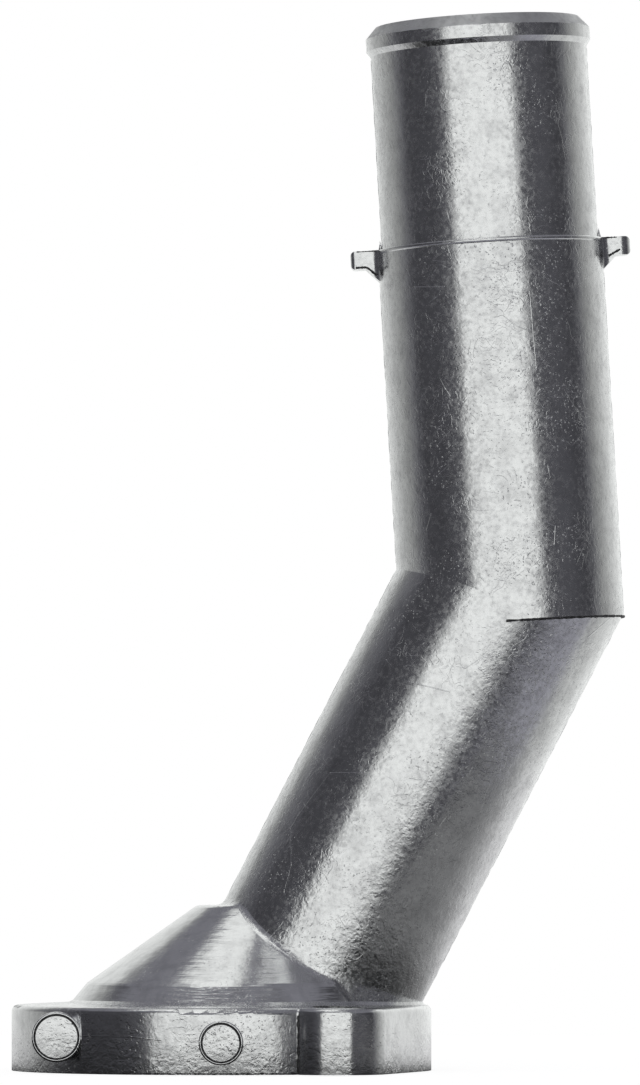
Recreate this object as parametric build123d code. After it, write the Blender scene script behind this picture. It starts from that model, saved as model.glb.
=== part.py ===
from build123d import *
from math import acos, cos, degrees, radians, sin, tan
import os

# Die-cast aluminium coolant flange: a round plate with two bolt lugs, a leaning dome over an
# inlet chamber, and a pipe that climbs out of the dome, turns at an elbow and ends in a hose neck.
# Z = 0 is the gasket face, with the origin at the centre of the plate. The casting's parting
# plane is the XZ plane, and the pipe leans towards +X.

# Flange plate, with a low apron that rises from the rim to the dome's foot
flange_radius = 38.8
flange_thickness = 12.1
flange_edge_round = 1.2
gasket_land = 9.8
apron_margin = 1.4
apron_cover = 2.5
apron_rise = 0.5

# Bolt lugs, diagonally opposite, each running off along one straight flank
bolt_circle_radius = 37.2
bolt_angle = -55.0
bolt_hole_radius = 4.5
lug_radius = 9.0
lug_corner_round = 0.5

# Inlet: a seat for the valve's rim in the gasket face, then the chamber under the dome
seat_depth = 4.0
skirt_wall = 3.8
chamber_roof_drop = 1.8

# Leaning dome: foot, knee and crown circles on a line that leans towards the pipe
dome_land = 9.5
skirt_draw = 1.8
dome_crown_radius = 11.4
dome_knee_height = 3.5
dome_height = 17.9
dome_offset = 1.5
dome_lean_angle = 16.7
dome_wall = 4.4
dome_knee_round = 1.8
dome_crown_round = 2.4

# Pipe: a lower leg, whose foot stops short of the plate's rim, and an upper leg that leans back
passage_radius = 17.0
lower_leg_wall = 3.55
upper_leg_wall = 3.8
lower_lean_angle = 27.4
pipe_foot_margin = 1.9
elbow_height = 88.6
upper_lean_angle = 3.3
elbow_ledge_drop = 5.9
shoulder_height = 64.4
shoulder_chamfer = 0.3

# Hose neck and bead
neck_wall = 3.05
neck_length = 35.9
bead_stand = 0.75
bead_flank = 1.0
bead_crest = 2.3
mouth_draw = 1.15
mouth_lead = 2.1

# Hose stops at the shoulder, in the parting plane
stop_stand = 5.15
stop_width = 5.0
stop_height = 3.4
stop_corner_round = 0.9
left_stop_end_round = 1.0
right_stop_end_round = 2.2
stop_root_round = 1.8
stop_ramp = 2.4

# Ejector pin pads on the side wall that faces -Y
corner_pad_x = -29.7
corner_pad_height = 6.7
corner_pad_radius = 4.1
corner_pad_stand = 0.4
middle_pad_x = 0.3
middle_pad_height = 5.8
middle_pad_radius = 3.6
middle_pad_stand = 0.15

# Roots that the casting leaves soft
crease_round = 2.0
foot_chamfer = 0.6


def polar(radius, angle):
    """Point in the gasket plane at a radius and an angle in degrees from +X."""
    return Vector(radius * cos(radians(angle)), radius * sin(radians(angle)))


dome_foot_radius = flange_radius - dome_land
dome_knee_radius = dome_foot_radius - skirt_draw
chamber_radius = dome_foot_radius - skirt_wall
seat_radius = flange_radius - gasket_land

lower_leg_radius = passage_radius + lower_leg_wall
upper_leg_radius = passage_radius + upper_leg_wall
neck_radius = passage_radius + neck_wall
bead_radius = neck_radius + bead_stand
mouth_radius = neck_radius - mouth_draw
stop_reach = upper_leg_radius + stop_stand

lower_lean = radians(lower_lean_angle)
pipe_foot_x = flange_radius - pipe_foot_margin - lower_leg_radius / cos(lower_lean)
elbow_x = pipe_foot_x + (elbow_height - flange_thickness) * tan(lower_lean)


def leaning_frame(angle):
    """Frame at the elbow whose Z axis leans from the vertical towards +X."""
    lean = radians(angle)
    across = (cos(lean), 0, -sin(lean))
    along = (sin(lean), 0, cos(lean))
    return Plane((elbow_x, 0, elbow_height), x_dir=across, z_dir=along)


lower_frame = leaning_frame(lower_lean_angle)
upper_frame = leaning_frame(-upper_lean_angle)
mitre_frame = leaning_frame((lower_lean_angle - upper_lean_angle) / 2)
lower_leg_length = elbow_height / cos(lower_lean)
mouth_height = shoulder_height + neck_length + bead_flank + bead_crest + mouth_lead


def lug_outline():
    """Round lug with a straight flank that leaves both circles at their common tangent."""
    centre = polar(bolt_circle_radius, bolt_angle)
    tangent_angle = bolt_angle + degrees(acos((flange_radius - lug_radius) / bolt_circle_radius))
    flank = Polygon(
        (0, 0),
        centre,
        centre + polar(lug_radius, tangent_angle),
        polar(flange_radius, tangent_angle),
        align=None,
    )
    return flank + Pos(*centre) * Circle(lug_radius)


def flange_outline():
    """Plate circle with both lugs, rounded where each lug leaves the circle."""
    lug = lug_outline()
    outline = Circle(flange_radius) + lug + Rot(0, 0, 180) * lug
    cosine = (flange_radius**2 + bolt_circle_radius**2 - lug_radius**2) / (
        2 * flange_radius * bolt_circle_radius
    )
    corner = polar(flange_radius, bolt_angle - degrees(acos(cosine)))
    corners = [outline.vertices().sort_by_distance(point)[0] for point in (corner, -corner)]
    return fillet(corners, lug_corner_round)


def flange_plate():
    """Plate and lugs with a soft upper edge, and the apron."""
    plate = extrude(flange_outline(), flange_thickness)
    plate = fillet(plate.faces().sort_by(Axis.Z)[-1].edges(), flange_edge_round)
    apron = loft(
        [
            Pos(0, 0, flange_thickness) * Circle(flange_radius - apron_margin),
            Pos(0, 0, flange_thickness + apron_rise) * Circle(dome_foot_radius - apron_cover),
        ]
    )
    return plate + apron


def dome_section(radius, height, drop=0.0):
    """Horizontal circle of the dome, with its centre on the leaning line."""
    centre_x = dome_offset + height * tan(radians(dome_lean_angle))
    return Pos(centre_x, 0, flange_thickness + apron_rise + height - drop) * Circle(radius)


def dome():
    """Skirt and leaning cone from inside the plate, with a soft knee and crown."""
    skirt_slope = (dome_foot_radius - dome_knee_radius) / dome_knee_height
    root_drop = flange_thickness / 2
    root = dome_section(dome_foot_radius + root_drop * skirt_slope, -root_drop)
    knee = dome_section(dome_knee_radius, dome_knee_height)
    crown = dome_section(dome_crown_radius, dome_height)
    body = loft([root, knee, crown], ruled=True)
    body = fillet(closed_edges(body)[-1], dome_crown_round)
    return fillet(closed_edges(body)[1], dome_knee_round)


def closed_edges(body):
    """Ring edges of a body, from the lowest up."""
    return body.edges().filter_by(lambda edge: edge.is_closed).sort_by(Axis.Z)


def lower_leg():
    """Slanted pipe from inside the plate up to the mitre of the elbow."""
    reach = lower_leg_length + lower_leg_radius
    pipe = lower_frame * extrude(Circle(lower_leg_radius), reach, both=True)
    pipe = split(pipe, bisect_by=mitre_frame, keep=Keep.BOTTOM)
    return split(pipe, bisect_by=Plane.XY.offset(flange_thickness / 2), keep=Keep.TOP)


def upper_leg():
    """Turned form of the upper leg: pipe, shoulder, hose neck and bead."""
    neck_top = shoulder_height + neck_length
    crest_foot = neck_top + bead_flank
    crest_top = crest_foot + bead_crest
    outline = Polyline(
        (0, -elbow_ledge_drop),
        (upper_leg_radius, -elbow_ledge_drop),
        (upper_leg_radius, shoulder_height),
        (neck_radius, shoulder_height),
        (neck_radius, neck_top),
        (bead_radius, crest_foot),
        (bead_radius, crest_top),
        (mouth_radius, mouth_height),
        (0, mouth_height),
        close=True,
    )
    profile = make_face(Plane.XZ * outline)
    shoulder = profile.vertices().sort_by_distance((upper_leg_radius, 0, shoulder_height))[0]
    return upper_frame * revolve(chamfer(shoulder, shoulder_chamfer), Axis.Z)


def hose_stops():
    """Two tabs with flared roots, flush with the shoulder, each on a sloping ramp."""
    half_width = stop_width / 2
    plan = Circle(upper_leg_radius) + Rectangle(2 * stop_reach, stop_width)
    root_x = (upper_leg_radius**2 - half_width**2) ** 0.5
    root_points = [(x, y) for x in (-root_x, root_x) for y in (-half_width, half_width)]
    roots = [plan.vertices().sort_by_distance(point)[0] for point in root_points]
    plan = fillet(roots, stop_root_round)
    for side, end_round in ((-1, left_stop_end_round), (1, right_stop_end_round)):
        ends = [(side * stop_reach, -half_width), (side * stop_reach, half_width)]
        plan = fillet([plan.vertices().sort_by_distance(point)[0] for point in ends], end_round)
    depth = stop_height + stop_ramp
    front = Polygon(
        (0, 0),
        (stop_reach, 0),
        (stop_reach, -stop_height),
        (upper_leg_radius + stop_ramp, -stop_height),
        (upper_leg_radius, -depth),
        (0, -depth),
        align=None,
    )
    end = [front.vertices().sort_by_distance((stop_reach, y))[0] for y in (0, -stop_height)]
    front = fillet(end, stop_corner_round)
    front = front + mirror(front, about=Plane.YZ)
    stops = extrude(plan, -depth) & extrude(Plane.XZ * front, stop_reach, both=True)
    return upper_frame * Pos(0, 0, shoulder_height) * stops


def ejector_pad(x, height, radius, stand):
    """Round pad that faces -Y and stands clear of the side wall all round."""
    nearest_x = max(0.0, abs(x) - radius)
    reach = (flange_radius**2 - nearest_x**2) ** 0.5 + stand
    pad = extrude(Plane.XZ * Circle(radius), reach)
    return Pos(x, 0, height) * split(pad, bisect_by=Plane.XZ.offset(reach / 2), keep=Keep.TOP)


def chamber():
    """Space under the dome: the seat, a round chamber and a roof that follows the cone."""
    chamber_top = flange_thickness - chamber_roof_drop
    seat = extrude(Circle(seat_radius), seat_depth)
    barrel = extrude(Circle(chamber_radius), chamber_top)
    roof = loft(
        [
            Pos(0, 0, chamber_top) * Circle(chamber_radius),
            dome_section(dome_crown_radius, dome_height, drop=dome_wall),
        ],
        ruled=True,
    )
    return seat + barrel + roof


def passage():
    """Two round bores that meet at the mitre of the elbow."""
    reach = lower_leg_length + passage_radius
    lower = lower_frame * extrude(Circle(passage_radius), reach, both=True)
    lower = split(lower, bisect_by=mitre_frame, keep=Keep.BOTTOM)
    lower = split(lower, bisect_by=Plane.XY, keep=Keep.TOP)
    upper = upper_frame * Pos(0, 0, mouth_height) * extrude(Circle(passage_radius), -reach - mouth_height)
    upper = split(upper, bisect_by=mitre_frame, keep=Keep.TOP)
    return lower + upper


def bolt_holes():
    """Through holes in the two lugs."""
    hole = extrude(Circle(bolt_hole_radius), 2 * flange_thickness)
    return [Pos(*(side * polar(bolt_circle_radius, bolt_angle))) * hole for side in (1, -1)]


def lies_on(edge, *bodies):
    """Whether an edge's middle is on the surface of every body named."""
    middle = Vertex(*(edge @ 0.5))
    return all(middle.distance_to(body) < 0.001 for body in bodies)


def surface(body):
    """Faces of a body as one shell, without its inside."""
    return Compound(body.faces())


def shared_edges(body, first, second):
    """Edges of a body where the surfaces of two of its members meet."""
    return [edge for edge in body.edges() if lies_on(edge, surface(first), surface(second))]


def casting():
    """Outer form with a soft crease between dome and pipe and a soft foot on the plate."""
    plate = flange_plate()
    cover = dome()
    pipe = lower_leg()
    body = plate + cover + pipe
    body = fillet(shared_edges(body, cover, pipe), crease_round)
    foot = shared_edges(body, plate, cover) + shared_edges(body, plate, pipe)
    body = chamfer(foot, foot_chamfer)
    return body + upper_leg() + hose_stops()


def coolant_flange():
    """Whole casting with its pads, hollows and bolt holes."""
    body = casting()
    body += ejector_pad(corner_pad_x, corner_pad_height, corner_pad_radius, corner_pad_stand)
    body += ejector_pad(middle_pad_x, middle_pad_height, middle_pad_radius, middle_pad_stand)
    body -= chamber()
    body -= passage()
    for hole in bolt_holes():
        body -= hole
    return body


os.makedirs("parts", exist_ok=True)
export_step(coolant_flange(), "parts/coolant_flange.step")
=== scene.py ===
# %% [markdown]
# # A die-cast coolant flange in Blender
# The real part is one aluminium casting: a bolted plate, a leaning dome and a bent pipe with a
# hose neck. Its form comes in as a fixed mesh in metres, standing on the plate's gasket face with
# +Z up. This script gives it the skin of a casting, the small burrs and seams of the die, a
# table, light and a camera.

# %% Load the fixed frame
import random
from math import cos, pi, radians, sin
import bmesh
import bpy
from mathutils import Matrix, Vector


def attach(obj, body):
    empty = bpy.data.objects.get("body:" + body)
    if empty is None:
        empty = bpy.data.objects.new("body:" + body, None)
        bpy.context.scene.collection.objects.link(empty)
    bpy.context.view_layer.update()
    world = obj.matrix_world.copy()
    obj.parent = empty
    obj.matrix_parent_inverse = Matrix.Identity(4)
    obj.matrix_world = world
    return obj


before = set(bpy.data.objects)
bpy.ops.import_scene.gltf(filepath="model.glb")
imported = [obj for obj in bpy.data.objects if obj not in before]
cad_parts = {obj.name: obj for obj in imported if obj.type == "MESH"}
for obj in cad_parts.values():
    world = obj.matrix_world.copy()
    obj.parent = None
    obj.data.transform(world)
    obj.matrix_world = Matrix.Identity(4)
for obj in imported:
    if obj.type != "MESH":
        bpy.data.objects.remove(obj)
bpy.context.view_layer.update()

# %% [markdown]
# ## Seeing it as the photographer did
# The photo shows the pipe bend square on, from about 1.7 m away and from a little above the
# plate, with hardly any perspective. That asks for a long lens. The camera could be shifted, but
# a small tilt up does the same and keeps other views simple.

# %% Camera
CAMERA_PLACE = Vector((0.0182, -1.70, 0.042))
CAMERA_TARGET = Vector((0.0182, 0.0, 0.0976))
LENS_MM = 304.6

camera_data = bpy.data.cameras.new("camera")
camera_data.lens = LENS_MM
camera = bpy.data.objects.new("camera", camera_data)
camera.location = CAMERA_PLACE
camera.rotation_euler = (CAMERA_TARGET - CAMERA_PLACE).to_track_quat("-Z", "Y").to_euler()
bpy.context.collection.objects.link(camera)
bpy.context.scene.camera = camera
bpy.context.scene.view_settings.view_transform = "Standard"
print("camera", round((CAMERA_TARGET - CAMERA_PLACE).length, 3), "m away, lens", LENS_MM, "mm")

# %% [markdown]
# ## Shader maths as sums
# A casting's skin is many faint layers added up: swells, pits, flow lines, scratches. Adding
# them with hand-placed nodes hides the sum. So one small class stands for a value in a node
# tree, and a plain expression such as `1 - mask` adds the Math nodes for it. Two more of its
# methods make masks: a step rises from 0 to 1 between two values, and a band rises and falls
# again, with soft edges.

# %% Values that add their own nodes
class Signal:
    def __init__(self, web, socket):
        self.web = web
        self.socket = socket

    def math(self, operation, *others):
        values = dict(enumerate((self, *others)))
        return self.web.node("ShaderNodeMath", {"operation": operation}, values)

    def __add__(self, other):
        return self.math("ADD", other)

    def __sub__(self, other):
        return self.math("SUBTRACT", other)

    def __rsub__(self, other):
        return self.web.node("ShaderNodeMath", {"operation": "SUBTRACT"}, {0: other, 1: self})

    def __mul__(self, other):
        return self.math("MULTIPLY", other)

    def __abs__(self):
        return self.math("ABSOLUTE")

    __radd__ = __add__
    __rmul__ = __mul__

    def step(self, low, high):
        settings = {"interpolation_type": "SMOOTHSTEP"}
        values = {"Value": self, "From Min": low, "From Max": high}
        return self.web.node("ShaderNodeMapRange", settings, values)

    def band(self, low, high, soft):
        return self.step(low - soft, low + soft) * (1 - self.step(high - soft, high + soft))

    def output(self, name):
        return Signal(self.web, self.socket.node.outputs[name])


print("signals ready")

# %% [markdown]
# Every other node comes from one method, which sets the node's options first and its sockets
# after. Vectors and colours can't go through a Math node, so two short methods cover theirs.

# %% A web of nodes
COLOUR_FIRST = 6
COLOUR_SECOND = 7
COLOUR_RESULT = 2


class Web:
    def __init__(self, tree):
        self.tree = tree
        self.tree.nodes.clear()

    def node(self, kind, settings, values, output=0):
        node = self.tree.nodes.new(kind)
        for name, value in settings.items():
            setattr(node, name, value)
        for key, value in values.items():
            if isinstance(value, Signal):
                self.tree.links.new(value.socket, node.inputs[key])
            else:
                node.inputs[key].default_value = value
        return Signal(self, node.outputs[output] if len(node.outputs) else None)

    def vector(self, operation, first, second):
        return self.node("ShaderNodeVectorMath", {"operation": operation}, {0: first, 1: second})

    def tint(self, factor, first, second):
        values = {0: factor, COLOUR_FIRST: first, COLOUR_SECOND: second}
        return self.node("ShaderNodeMix", {"data_type": "RGBA"}, values, output=COLOUR_RESULT)


print("web ready")

# %% [markdown]
# ## Studio light
# A shiny casting shows its surroundings more than its own colour, so the surroundings are the
# light. A lamp for each card would do, but a world whose brightness depends on direction is
# quicker to read and has no edges in odd places. Azimuth is 0 towards the camera's side and
# grows to the right, and elevation is 0 at the horizon, both in degrees.

# %% Directions
DEGREES = 57.29578  # in one radian

world = bpy.data.worlds.new("studio")
bpy.context.scene.world = world
world.use_nodes = True
studio = Web(world.node_tree)
direction = studio.node("ShaderNodeTexCoord", {}, {})
ways = studio.node("ShaderNodeSeparateXYZ", {}, {0: direction})
east, north, up = (ways.output(name) for name in "XYZ")
azimuth = east.math("ARCTAN2", north * -1.0) * DEGREES
elevation = up.math("ARCSINE") * DEGREES
print("world reads azimuth and elevation")

# %% [markdown]
# ### Cards
# In front stands a wide softbox, which draws the bright stripe down the pipe. A faint halo of
# spilt light flanks it. Overhead hang a second softbox and a narrow strip lamp, and the dome
# mirrors both. Rise and across are in degrees. East, north and up are parts of a direction of
# length 1. Three numbers are a card's start, its end and the softness of its edges, and two are
# where one soft edge begins and ends.

# %% Softbox, overhead card and strip lamp
SOFTBOX_ACROSS = (-37.5, 32.5, 2.5)
SOFTBOX_RISE = (-8.5, 39.0, 2.0)
HALO_ACROSS = (-55.0, 72.0, 12.0)
HALO_RISE = (-10.0, 39.0, 2.0)
OVERHEAD_EAST = (-0.33, 0.03, 0.04)
OVERHEAD_NORTH = (-0.42, 0.30, 0.05)
OVERHEAD_UP = (0.0, 0.5)
STRIP_RISE = (61.0, 66.0, 1.0)
STRIP_EAST = (-0.60, 0.25, 0.05)
STRIP_BACK = (0.0, 0.1)

softbox = azimuth.band(*SOFTBOX_ACROSS) * elevation.band(*SOFTBOX_RISE)
halo = azimuth.band(*HALO_ACROSS) * elevation.band(*HALO_RISE)
overhead = east.band(*OVERHEAD_EAST) * north.band(*OVERHEAD_NORTH) * up.step(*OVERHEAD_UP)
strip = elevation.band(*STRIP_RISE) * east.band(*STRIP_EAST) * (1 - north.step(*STRIP_BACK))
print("softbox from", SOFTBOX_ACROSS[0], "to", SOFTBOX_ACROSS[1], "degrees")

# %% [markdown]
# ### Sweep
# A white paper sweep stands behind the casting and wraps round to both sides. Its light grows
# towards the back, which gives the pipe its pale edges. On the left its upper part lies in shade,
# except far round the back.

# %% White sweep
LEFT_START, LEFT_RUN = 90.0, 90.0
RIGHT_START, RIGHT_RUN = 91.0, 66.0
FAR_LEFT = (125.0, 150.0)
SHADE_RISE = (3.0, 18.0)
SHADE = 0.65
SWEEP_TOP = (31.0, 44.0)

far_left = (azimuth * -1.0).step(*FAR_LEFT)
left_sweep = (azimuth * -1.0 - LEFT_START) * (1 / LEFT_RUN)
left_sweep = left_sweep * (1 - elevation.step(*SHADE_RISE) * (1 - far_left) * SHADE)
right_sweep = (azimuth - RIGHT_START) * (1 / RIGHT_RUN)
sweep = left_sweep.math("MAXIMUM", right_sweep).math("MINIMUM", 1.0).math("MAXIMUM", 0.0)
sweep = sweep * (1 - elevation.step(*SWEEP_TOP))
print("sweep starts", LEFT_START, "degrees to the left and", RIGHT_START, "to the right")

# %% [markdown]
# ### The whole room
# Between the cards stand dark flats, a little blue. The ceiling, which comes lower on the right,
# and the ground beyond the table are dim. All of it adds up to one level. A strength of 1 in a
# background is white, so the camera itself sees only white.

# %% Levels and colours
DARK_FLAT = 0.058
LEVELS = {"softbox": 0.86, "overhead": 0.74, "strip": 0.9, "sweep": 0.92}
HALO_LEVEL = 0.026
CEILING_LEVEL = 0.14
GROUND_LEVEL = 0.27
CEILING_RISE = (38.0, 44.0)
LOW_CEILING_RISE = (24.0, 31.0)
LOW_CEILING_START = (36.0, 46.0)
GROUND_RISE = (-22.0, -18.0)
CARD_TINT_EDGE = (0.0, 0.25)
FLAT_TINT = (0.94, 0.94, 1.06, 1.0)
CARD_TINT = (0.985, 1.0, 0.985, 1.0)
WHITE = (1.0, 1.0, 1.0, 1.0)

right_ceiling = elevation.step(*LOW_CEILING_RISE) * azimuth.step(*LOW_CEILING_START)
ceiling = elevation.step(*CEILING_RISE).math("MAXIMUM", right_ceiling)
ground = 1 - elevation.step(*GROUND_RISE)
cards = softbox * LEVELS["softbox"] + overhead * LEVELS["overhead"]
cards = cards + strip * LEVELS["strip"] + sweep * LEVELS["sweep"]
level = DARK_FLAT + cards + halo * HALO_LEVEL
level = level + ceiling * CEILING_LEVEL + ground * (1 - sweep) * GROUND_LEVEL
seen = studio.node("ShaderNodeLightPath", {}, {}).output("Is Camera Ray")
colour = studio.tint(cards.step(*CARD_TINT_EDGE), FLAT_TINT, CARD_TINT)
colour = studio.tint(seen, colour, WHITE)
shown = {"Color": colour, "Strength": level * (1 - seen) + seen}
background = studio.node("ShaderNodeBackground", {}, shown)
studio.node("ShaderNodeOutputWorld", {}, {"Surface": background})
print("studio of one front softbox, one overhead, a strip lamp, dark flats and a white sweep")

# %% [markdown]
# ## Table
# The casting stands on a pale table. A plain plane is enough: it gives the underside something
# to mirror and catches the contact shadow. The table is small, so that the plate's wall mirrors
# the dark flats beyond it, as in the photo. It is a grid of one face, scaled and moved in its mesh.

# %% Table top
TABLE_WIDE = 0.17
TABLE_FRONT = -0.12
TABLE_BACK = 0.30

table_form = bmesh.new()
bmesh.ops.create_grid(table_form, x_segments=1, y_segments=1, size=0.5)
table_size = (2 * TABLE_WIDE, TABLE_BACK - TABLE_FRONT, 1.0)
bmesh.ops.scale(table_form, vec=table_size, verts=table_form.verts)
table_middle = (0.0, (TABLE_BACK + TABLE_FRONT) / 2, 0.0)
bmesh.ops.translate(table_form, vec=table_middle, verts=table_form.verts)
table_mesh = bpy.data.meshes.new("table")
table_form.to_mesh(table_mesh)
table_form.free()
table = bpy.data.objects.new("table", table_mesh)
bpy.context.collection.objects.link(table)
print("table", table_size[0], "by", table_size[1], "m")

# %% [markdown]
# ### Finish of the table
# Towards the camera the table is lifted to white, which keeps the shadow and hides the horizon.
# What the metal mirrors of it is painted light and shade: a painted glow at the back, a dim painted
# glow at the right and painted shade in front, and that gives the wall and the lower leg the tones
# that they have in the photo. Light Path tells these rays apart, and for all other light the table
# is a plain matt grey.

# %% Pale table
TABLE_GREY = (0.34, 0.34, 0.34, 1.0)
TABLE_PAINTED_SHADE = (0.05, 0.05, 0.05, 1.0)
BACK_EDGE = (-0.03, 0.10)
RIGHT_EDGE = (0.060, 0.085)
LIFT = 0.88
BACK_GLOW = 0.55
RIGHT_GLOW = 0.06

table_finish = bpy.data.materials.new("pale_table")
table_finish.use_nodes = True
top = Web(table_finish.node_tree)
path = top.node("ShaderNodeLightPath", {}, {})
seen = path.output("Is Camera Ray")
mirrored = path.output("Is Glossy Ray")
place = top.node("ShaderNodeTexCoord", {}, {}).output("Object")
spot = top.node("ShaderNodeSeparateXYZ", {}, {0: place})
back_part = spot.output("Y").step(*BACK_EDGE)
right_part = spot.output("X").step(*RIGHT_EDGE)
# painted shade: glossy rays see the table's front left dark
grey = top.tint(mirrored * (1 - back_part) * (1 - right_part), TABLE_GREY, TABLE_PAINTED_SHADE)
matt = top.node("ShaderNodeBsdfDiffuse", {}, {"Color": grey})
# painted glow: glossy rays see the table's back and right part glow, though it is no lamp
glow = seen * LIFT + mirrored * (back_part * BACK_GLOW + right_part * RIGHT_GLOW)
lift_and_painted_glow = top.node("ShaderNodeEmission", {}, {"Strength": glow})
both = top.node("ShaderNodeAddShader", {}, {0: matt, 1: lift_and_painted_glow})
top.node("ShaderNodeOutputMaterial", {}, {"Surface": both})
table_mesh.materials.append(table_finish)
print("table finished")

# %% [markdown]
# ## Where things lie
# The legs of the pipe lean, so their details are easiest to place in each leg's own frame, with
# its Z along the leg and its origin at the elbow. Lengths are given in millimetres, as on a
# drawing.

# %% Frames of the legs
MM = 0.001
ELBOW = Vector((53.407, 0.0, 88.6)) * MM
UPPER_LEAN = -3.3
LOWER_LEAN = 27.4
UPPER_LEG = Matrix.Translation(ELBOW) @ Matrix.Rotation(radians(UPPER_LEAN), 4, "Y")
LOWER_LEG = Matrix.Translation(ELBOW) @ Matrix.Rotation(radians(LOWER_LEAN), 4, "Y")
UPPER_WAY = tuple(UPPER_LEG.to_3x3() @ Vector((0, 0, 1)))
UPPER_ACROSS = tuple(UPPER_LEG.to_3x3() @ Vector((1, 0, 0)))
LOWER_WAY = tuple(LOWER_LEG.to_3x3() @ Vector((0, 0, 1)))
print("upper leg runs along", [round(c, 3) for c in UPPER_WAY])

# %% [markdown]
# ## Cast skin
# Molten aluminium freezes against the steel die in an instant. Its skin copies the die's worn
# polish, swells a little where the metal shrank, and is pocked with pits a few tenths of a
# millimetre wide. Folds of cold metal leave faint curved lines. Two helpers draw these: noise of
# a given size in millimetres, and thin lines that follow the middle value of such a noise.

# %% Layers of the skin
def noise(web, place, size, detail=2.0, roughness=0.5, distortion=0.0):
    values = {
        "Vector": place,
        "Scale": 1 / (size * MM),
        "Detail": detail,
        "Roughness": roughness,
        "Distortion": distortion,
    }
    return web.node("ShaderNodeTexNoise", {}, values)


def flow_lines(web, place, size, width, cover):
    """Thin curved lines along which two tongues of metal met, in a few patches only."""
    line = abs(noise(web, place, size, detail=1.0, distortion=0.8) - 0.5)
    line = 1 - line.step(width, 2.5 * width)
    return line * noise(web, place, size=9.0, detail=1.0).step(cover, cover + 0.05)


print("layers ready")

# %% [markdown]
# ### Marks of handling
# A few marks are placed one by one, because they sit where the photo shows them: short scratches on
# the upper leg, fold lines on the lower leg, a flow line on the plate's wall. Each is a chain of
# points in the front view with the half width of its line. A stroke is a mask of everything nearer
# to one piece of the chain than that.

# %% Marks and their places
MARKS = [
    (0.16, [(40.1, 127.2), (41.1, 125.2), (42.0, 123.9)]),
    (0.14, [(38.7, 102.4), (37.8, 99.4)]),
    (0.26, [(59.6, 128.9), (61.2, 130.8)]),
    (0.13, [(58.6, 101.3), (61.4, 100.0), (61.2, 96.6)]),
    (0.12, [(35.6, 144.2), (41.0, 144.0)]),
    (0.12, [(56.7, 143.0), (57.9, 128.6)]),
    (0.13, [(26.6, 54.8), (20.1, 54.8), (14.2, 47.0), (12.8, 44.5), (12.9, 38.0), (11.5, 33.0)]),
    (0.12, [(33.8, 71.6), (42.0, 69.6)]),
    (0.14, [(67.5, 79.8), (72.9, 84.4)]),
    (0.14, [(-24.7, 6.9), (-16.0, 6.9), (-10.6, 6.3)]),
    (0.30, [(1.6, 5.2), (1.9, 4.6)]),
]


def stroke(web, flat, start, end, half_width):
    """Mask of a straight mark between two points of the front view, in millimetres."""
    run = (Vector((end[0], 0, end[1])) - Vector((start[0], 0, start[1]))) * MM
    away = web.vector("SUBTRACT", flat, (start[0] * MM, 0.0, start[1] * MM))
    share = web.vector("DOT_PRODUCT", away, tuple(run / run.length_squared)).output("Value")
    share = share.math("MAXIMUM", 0.0).math("MINIMUM", 1.0)
    along = web.node("ShaderNodeVectorMath", {"operation": "SCALE"}, {0: tuple(run), "Scale": share})
    gap = web.vector("DISTANCE", away, along).output("Value")
    return 1 - gap.step(0.3 * half_width * MM, half_width * MM)


def handled(web, place):
    flat = web.vector("MULTIPLY", place, (1.0, 0.0, 1.0))
    marks = 0.0
    for half_width, chain in MARKS:
        for start, end in zip(chain, chain[1:]):
            marks = marks + stroke(web, flat, start, end, half_width)
    return marks


print(len(MARKS), "marks")

# %% [markdown]
# ### Regions
# The whole casting shares one skin, so it is one material that knows where it is. The dome was
# polished in the die and keeps fine rings of that work. The foot of the lower leg is coarser,
# since the die wore there. The chamfer at the mouth was trimmed and is dull. The plate's wall is
# calm, and the right part of the upper leg was knocked about. Heights and the distance from a
# leg's axis find these places, which no UV map could do as simply.

# %% Masks of the regions
FRONT_EDGE = (-4 * MM, 0.0)
WALL_TOP = (11.5 * MM, 12.5 * MM)
PLATE_TOP = (12.0 * MM, 13.0 * MM)
FOOT_FADE = (16.0 * MM, 74.0 * MM)
LEG_EDGE = (20.8 * MM, 21.8 * MM)
DOME_RISE = (12.9 * MM, 33.5 * MM, 0.3 * MM)
KNOCKED_ACROSS = (1.5 * MM, 13.5 * MM, 2.5 * MM)
NECK_START = (63.0 * MM, 65.0 * MM)
MOUTH_EDGE = (103.5 * MM, 103.7 * MM)
POLISH = 0.75


def find_regions(skin, place):
    """Masks by name, each from 0 outside a region to 1 inside it."""
    spot = skin.node("ShaderNodeSeparateXYZ", {}, {0: place})
    height = spot.output("Z")
    from_elbow = skin.vector("SUBTRACT", place, tuple(ELBOW))
    across = skin.vector("CROSS_PRODUCT", from_elbow, LOWER_WAY)
    length = {"operation": "LENGTH"}
    from_axis = skin.node("ShaderNodeVectorMath", length, {0: across}).output("Value")
    up_the_leg = skin.vector("DOT_PRODUCT", from_elbow, UPPER_WAY).output("Value")
    sideways = skin.vector("DOT_PRODUCT", from_elbow, UPPER_ACROSS).output("Value")
    front = 1 - spot.output("Y").step(*FRONT_EDGE)
    dome = from_axis.step(*LEG_EDGE) * height.band(*DOME_RISE)
    return {
        "front": front,
        "wall": 1 - height.step(*WALL_TOP),
        "dome": dome,
        "unpolished": 1 - dome * POLISH,
        "worn_foot": (1 - height.step(*FOOT_FADE)) * height.step(*PLATE_TOP),
        "knocked": sideways.band(*KNOCKED_ACROSS) * front,
        "neck": up_the_leg.step(*NECK_START),
        "trimmed": up_the_leg.step(*MOUTH_EDGE),
    }


print("regions ready")

# %% [markdown]
# ### Relief
# All of the skin's relief is height, so it is summed in millimetres and handed to one Bump node.
# Noise lies round 0.5. A step round 0.5 splits it into patches, and one near 0.7 or 0.3 keeps
# only its rare peaks or hollows, which become nicks and pits.

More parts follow.
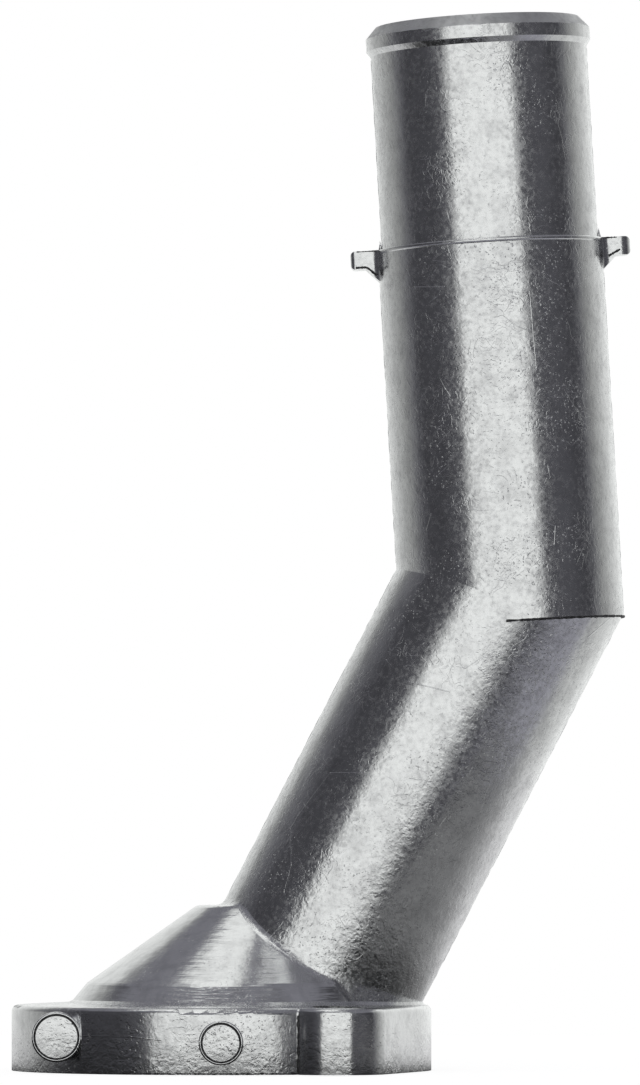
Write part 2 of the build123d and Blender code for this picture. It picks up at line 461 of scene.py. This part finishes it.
# %% Height of the skin
SWELL = 0.05
SWELL_LOST_ON_WALL = 0.03
RIPPLE = 0.032
GRAIN = 0.014
FINE = 0.004
PIT = 0.015
NICK = 0.045
RING = 0.055
FOLD = 0.012
MARK = 0.02


def nicked(skin, place, where):
    """Small knocks, crowded on the knocked side and the worn foot, and fewer on the neck."""
    bruised = noise(skin, place, size=11.0) + where["knocked"] * 0.13 + where["worn_foot"] * 0.05
    bruised = bruised - where["neck"] * 0.08 - 0.03
    nicks = noise(skin, place, size=0.46, detail=1.0).step(0.65, 0.74)
    return nicks * bruised.step(0.49, 0.62)


def relief_of(skin, place, where):
    pitted = noise(skin, place, size=8.0).step(0.38, 0.62)
    pits = 1 - noise(skin, place, size=0.50, detail=0.0).step(0.24, 0.36)
    swell = noise(skin, place, size=4.5, detail=1.0)
    ripple = noise(skin, place, size=1.2, detail=1.5)
    grain = noise(skin, place, size=0.52, detail=1.0)
    fine = noise(skin, place, size=0.24, detail=1.0)
    coarse = 0.65 + pitted * 0.45 + where["worn_foot"] * 0.9
    rough_skin = (ripple * RIPPLE + grain * GRAIN) * coarse + fine * FINE
    rough_skin = rough_skin - pits * pitted * PIT + nicked(skin, place, where) * NICK

    folds = flow_lines(skin, place, size=5.0, width=0.006, cover=0.52)
    folds = folds + flow_lines(skin, place, size=1.8, width=0.014, cover=0.60)
    folds = folds * (1 - where["wall"] * 0.6)
    streaked = skin.vector("MULTIPLY", place, (0.10, 0.10, 1.0))
    rings = noise(skin, streaked, size=0.85, roughness=0.6)

    relief = swell * (SWELL - where["wall"] * SWELL_LOST_ON_WALL)
    relief = relief + rough_skin * where["unpolished"] + rings * where["dome"] * RING
    relief = relief + folds * where["unpolished"] * FOLD
    return relief + handled(skin, place) * where["front"] * MARK


print("relief ready")

# %% [markdown]
# ### Colour and gloss
# Clean aluminium is nearly white. Clouds of oxide, a fine haze and a few specks dull it, and each
# makes the metal rougher too, since a pitted patch scatters more than a burnished one. So colour
# and roughness are summed from the same patterns.

# %% Stain and roughness
GLOSS = 0.12


def stain_and_roughness(skin, place, where):
    cloud = noise(skin, place, size=3.6, detail=3.0, roughness=0.6)
    specks = noise(skin, place, size=0.75, detail=1.0).step(0.71, 0.78)
    hazy = noise(skin, place, size=0.85, roughness=0.6).step(0.28, 0.82) * where["unpolished"]
    stain = cloud.step(0.38, 0.76) * 0.50 + hazy * 0.13 + specks * 0.30 + where["trimmed"] * 0.35
    roughness = GLOSS + hazy * (0.22 - where["wall"] * 0.15) + cloud * 0.05
    roughness = roughness + where["trimmed"] * 0.30 + specks * 0.1
    return stain, roughness


print("stains ready")

# %% [markdown]
# ### The skin as one material
# The layers meet in one metal shader. Edges that the die rolled smooth get the same skin with
# much less relief, so the material takes a share by which its relief is scaled.

# %% Cast aluminium
LIGHT_METAL = (0.83, 0.835, 0.84, 1.0)
DULL_METAL = (0.52, 0.52, 0.53, 1.0)
ROLLED = 0.3


def cast_skin(name, liveliness):
    finish = bpy.data.materials.new(name)
    finish.use_nodes = True
    skin = Web(finish.node_tree)
    place = skin.node("ShaderNodeTexCoord", {}, {}).output("Object")
    where = find_regions(skin, place)
    height_map = relief_of(skin, place, where) * (liveliness * MM)
    bump = skin.node("ShaderNodeBump", {}, {"Distance": 1.0, "Height": height_map})
    stain, roughness = stain_and_roughness(skin, place, where)
    shade = skin.tint(stain, LIGHT_METAL, DULL_METAL)
    metal = skin.node(
        "ShaderNodeBsdfPrincipled",
        {},
        {"Base Color": shade, "Metallic": 1.0, "Roughness": roughness, "Normal": bump},
    )
    skin.node("ShaderNodeOutputMaterial", {}, {"Surface": metal})
    return finish


cast_aluminium = cast_skin("cast_aluminium_skin", 1.0)
rolled_aluminium = cast_skin("rolled_aluminium_skin", ROLLED)
for node_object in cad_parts.values():
    node_object.material_slots[0].material = cast_aluminium
print("skin on", list(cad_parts))

# %% [markdown]
# ## Painted shade
# Shade in crevices, corners and under edges is painted nearly black with another, dull material:
# dark, rough, a little mottled.

# %% Painted shade material
PAINTED_SHADE_DARK = (0.035, 0.034, 0.037, 1.0)
PAINTED_SHADE_LIGHT = (0.16, 0.16, 0.165, 1.0)
MOTTLE_HEIGHT = 0.02

painted_shade = bpy.data.materials.new("painted_shade_dark")
painted_shade.use_nodes = True
shade_web = Web(painted_shade.node_tree)
place = shade_web.node("ShaderNodeTexCoord", {}, {}).output("Object")
mottle = noise(shade_web, place, size=0.45)
# painted shade, mottled between two dark tones
shade = shade_web.tint(mottle.step(0.5, 0.72), PAINTED_SHADE_DARK, PAINTED_SHADE_LIGHT)
bump = shade_web.node("ShaderNodeBump", {}, {"Distance": 1.0, "Height": mottle * (MOTTLE_HEIGHT * MM)})
shade_body = shade_web.node(
    "ShaderNodeBsdfPrincipled",
    {},
    {"Base Color": shade, "Metallic": 0.4, "Roughness": 0.5 + mottle * 0.2, "Normal": bump},
)
shade_web.node("ShaderNodeOutputMaterial", {}, {"Surface": shade_body})
print("residue mixed")

# %% [markdown]
# ## Turned details
# The rims of the ejector pads and the seam at the shoulder are round. Each is a small closed profile
# spun about its axis, which gives an even ring from a handful of points. The ring is moved to its
# place in its mesh, so its object stays at the origin. Every piece rides on the one body, and takes
# the finish it is given.

# %% A ring from a profile
def add_piece(name, form, finish):
    bmesh.ops.remove_doubles(form, verts=form.verts, dist=0.001 * MM)
    bmesh.ops.recalc_face_normals(form, faces=form.faces)
    mesh = bpy.data.meshes.new(name)
    form.to_mesh(mesh)
    form.free()
    mesh.shade_smooth()
    mesh.materials.append(finish)
    piece = bpy.data.objects.new(name, mesh)
    bpy.context.collection.objects.link(piece)
    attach(piece, "root")
    print(name, len(mesh.polygons), "faces")


def add_ring(name, profile, place, steps, finish):
    """Profile points are pairs of radius and height, in millimetres."""
    form = bmesh.new()
    corners = [form.verts.new((radius * MM, 0.0, high * MM)) for radius, high in profile]
    sides = [form.edges.new(pair) for pair in zip(corners, corners[1:] + corners[:1])]
    bmesh.ops.spin(
        form, geom=corners + sides, cent=(0, 0, 0), axis=(0, 0, 1), angle=2 * pi, steps=steps,
        use_merge=True,
    )
    bmesh.ops.transform(form, matrix=place, verts=form.verts)
    add_piece(name, form, finish)


# %% [markdown]
# ### Rims of the ejector pads
# The pins that push the casting out leave round pads on the plate's wall. Metal creeps round each
# pin, so a pad has a crevice at its edge, painted as a thin dark ring of shade, and a low burr
# outside it. A pad is given by its place in the front view, its radius and how far its face stands
# out towards -Y. The profiles are pairs of a distance past the pad's radius and a height over its
# face.

# %% Pad rims
PADS = {"corner": (-29.7, 6.7, 4.1, 29.556), "middle": (0.3, 5.8, 3.6, 38.95)}
CREVICE = [(-0.30, -0.1), (-0.30, 0.01), (-0.22, 0.04), (-0.06, 0.05), (0.03, 0.02), (0.03, -0.1)]
BURR = [(0.0, -0.6), (0.0, -0.02), (0.12, 0.04), (0.26, 0.02), (0.42, -0.12), (0.5, -0.6)]
PAD_STEPS = 96

for pad, (x, z, radius, reach) in PADS.items():
    place = Matrix.Translation(Vector((x, -reach, z)) * MM) @ Matrix.Rotation(pi / 2, 4, "X")
    crevice = [(radius + past, high) for past, high in CREVICE]
    burr = [(radius + past, high) for past, high in BURR]
    # a thin ring of painted shade at the pad's edge
    add_ring(pad + "_pad_crevice_shade", crevice, place, PAD_STEPS, painted_shade)
    add_ring(pad + "_pad_burr", burr, place, PAD_STEPS, cast_aluminium)

# %% [markdown]
# ### Seam at the shoulder
# At the shoulder a seam stands out, rolled smooth by the die. Its lower flank mirrors the ground
# and its upper flank the light above, so it reads as a bright line over a dark one.

# %% Shoulder seam
SHOULDER_SEAM = [
    (20.3, 63.55), (20.78, 63.55), (20.91, 63.72), (20.97, 63.95), (20.94, 64.18), (20.82, 64.36),
    (20.62, 64.46), (20.3, 64.46),
]
SEAM_STEPS = 144

add_ring("shoulder_seam", SHOULDER_SEAM, UPPER_LEG, SEAM_STEPS, rolled_aluminium)

# %% [markdown]
# ## Flash
# Where the die halves meet, metal is squeezed out as flash. It was trimmed, and what is left is a
# fine ridge along both sides of the pipe and two thin fins beside the hose stops. A ridge is a
# thin round thread, half sunk in the surface. A curve with a bevel makes it from its path, and a
# radius for each point makes it uneven. A fixed seed keeps every run the same.

# %% Threads along a path
def add_threads(name, paths, thickness, finish, unevenness, seed):
    """Paths are lists of points in metres. The thickness is a radius in millimetres."""
    curve = bpy.data.curves.new(name, "CURVE")
    curve.dimensions = "3D"
    curve.bevel_depth = thickness * MM
    curve.bevel_resolution = 2
    curve.use_fill_caps = True
    draw = random.Random(seed)
    for path in paths:
        spline = curve.splines.new("POLY")
        spline.points.add(len(path) - 1)
        for point, spot in zip(spline.points, path):
            point.co = (*spot, 1.0)
            point.radius = 1.0 + unevenness * (draw.random() - 0.5)
    curve.materials.append(finish)
    thread = bpy.data.objects.new(name, curve)
    bpy.context.collection.objects.link(thread)
    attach(thread, "root")
    print(name, len(paths), "threads")


# %% [markdown]
# ### Ridge along the parting line
# The ridge lies in the plane between the two die halves, which is the plane of the pipe's bend.
# So it runs down the left and the right side of each leg. It stops short of all that crosses
# it: bead, hose stops, crease, ledge, dome and plate.

# %% Parting ridge
UPPER_SIDE = 20.72
NECK_SIDE = 19.97
LOWER_SIDE = 20.47
STOPS_FOOT = 58.0
NECK_FOOT = 65.0
BEAD_FOOT = 99.8


def straight(leg, side, low, high, points):
    """Points along a leg's side line, in millimetres up that leg."""
    rises = [low + (high - low) * i / (points - 1) for i in range(points)]
    return [leg @ (Vector((side, 0.0, rise)) * MM) for rise in rises]


parting = [
    straight(UPPER_LEG, UPPER_SIDE, -5.2, STOPS_FOOT, 60),
    straight(UPPER_LEG, -UPPER_SIDE, 6.4, STOPS_FOOT, 50),
    straight(UPPER_LEG, NECK_SIDE, NECK_FOOT, BEAD_FOOT, 34),
    straight(UPPER_LEG, -NECK_SIDE, NECK_FOOT, BEAD_FOOT, 34),
    straight(LOWER_LEG, LOWER_SIDE, -73.6, 4.9, 76),
    straight(LOWER_LEG, -LOWER_SIDE, -73.4, -6.4, 66),
]
add_threads("parting_ridge", parting, 0.11, rolled_aluminium, 0.8, 3)

# %% [markdown]
# ### Burr under the plate
# The gasket face was milled, and the cutter left a ragged burr along its front edge, drawn in the
# dark material as painted shade at the plate's foot. It follows the round plate, turns in at the lug
# and goes round it.

# %% Burr path
BURR_HEIGHT = 0.24
PLATE_RADIUS = 38.74
LUG_RADIUS = 8.80
LUG_MIDDLE = (21.337, -30.472)


def arc(centre, radius, first, last, points):
    """Points on a level circle between two angles in degrees, all in millimetres."""
    angles = [radians(first + (last - first) * i / (points - 1)) for i in range(points)]
    x, y, z = centre
    return [Vector((x + radius * cos(a), y + radius * sin(a), z)) * MM for a in angles]


round_plate = arc((0.0, 0.0, BURR_HEIGHT), PLATE_RADIUS, -128.0, -69.3, 150)
round_lug = arc((*LUG_MIDDLE, BURR_HEIGHT), LUG_RADIUS, -139.0, -18.2, 80)
# the burr is real, its dark colour is painted shade at the plate's foot
add_threads("gasket_burr", [round_plate + round_lug], 0.13, painted_shade, 1.2, 11)

# %% [markdown]
# ### Painted shade in corners
# The corner under the elbow's ledge and the inner corner between plate and lug are painted black as
# shade. Dark threads along them draw the lines that the photo shows.

# %% Corner and ledge
CORNER = Vector((14.29, -36.07, 0.0))
CORNER_START = 0.4
CORNER_STEP = 0.45
LEDGE = (0.0, 0.0, -5.92)
LEDGE_RADIUS = 20.73

rises = [CORNER_START + CORNER_STEP * i for i in range(24)]
corner_path = [(CORNER + Vector((0, 0, rise))) * MM for rise in rises]
# painted shade in the inner corner between plate and lug
add_threads("lug_corner_painted_shade", [corner_path], 0.30, painted_shade, 0.5, 5)

ledge_path = [UPPER_LEG @ spot for spot in arc(LEDGE, LEDGE_RADIUS, -94.0, 94.0, 120)]
# painted shade under the elbow's ledge
add_threads("ledge_painted_shade", [ledge_path], 0.22, painted_shade, 0.7, 6)

# %% [markdown]
# ### Painted shade on the hose stops
# Each stop's front face has a line of painted shade along its top edge and one low down. On the left
# the low one runs level and then down a ramp, and on the right it is a diagonal. The face flares
# towards the pipe in a quarter round, and the lines follow it.

# %% Stop outlines
STOP_FACE = 2.42
FLARE = 1.8
FLARE_START = 22.5
STOP_TOP = 64.27


def stop_edge(side, points):
    """A line on the front face of a hose stop, which flares towards the pipe, in millimetres."""
    flares = [FLARE - (FLARE**2 - max(0.0, FLARE_START - x) ** 2) ** 0.5 for x, z in points]
    spots = [Vector((side * x, -STOP_FACE - flare, z)) for (x, z), flare in zip(points, flares)]
    return [UPPER_LEG @ (spot * MM) for spot in spots]


left_level = [(25.1 - 0.2 * i, 61.34) for i in range(10)]
left_ramp = [(22.9, 61.2), (22.6, 60.95), (22.3, 60.7), (22.0, 60.4), (21.7, 60.1), (21.4, 59.8)]
right_diagonal = [(24.0 - 0.2 * i, 62.0 - 0.1 * i) for i in range(12)]
top_edges = [
    stop_edge(-1, [(21.3 + 0.25 * i, STOP_TOP) for i in range(15)]),
    stop_edge(1, [(21.3 + 0.25 * i, STOP_TOP) for i in range(10)]),
]
low_edges = [stop_edge(-1, left_level + left_ramp), stop_edge(1, right_diagonal)]
# dark threads of painted shade along the stops' edges
add_threads("stop_top_painted_shade", top_edges, 0.14, painted_shade, 0.6, 7)
add_threads("stop_low_painted_shade", low_edges, 0.24, painted_shade, 0.5, 8)

# %% [markdown]
# ### Fins beside the stops
# Each fin is a sliver of metal that stands on the shoulder next to the neck. Three points and a
# short extrusion make it.

# %% Fins
FIN_THICK = 0.22
FIN_OUTLINE = [(19.9, 64.2), (20.72, 64.2), (20.3, 66.3)]

fins = bmesh.new()
for side in (-1, 1):
    outline = [Vector((side * x, -FIN_THICK / 2, z)) * MM for x, z in FIN_OUTLINE]
    blade = fins.faces.new([fins.verts.new(UPPER_LEG @ point) for point in outline])
    grown = bmesh.ops.extrude_face_region(fins, geom=[blade])["geom"]
    far_side = [item for item in grown if isinstance(item, bmesh.types.BMVert)]
    bmesh.ops.translate(fins, vec=(0.0, FIN_THICK * MM, 0.0), verts=far_side)
add_piece("shoulder_fins", fins, cast_aluminium)
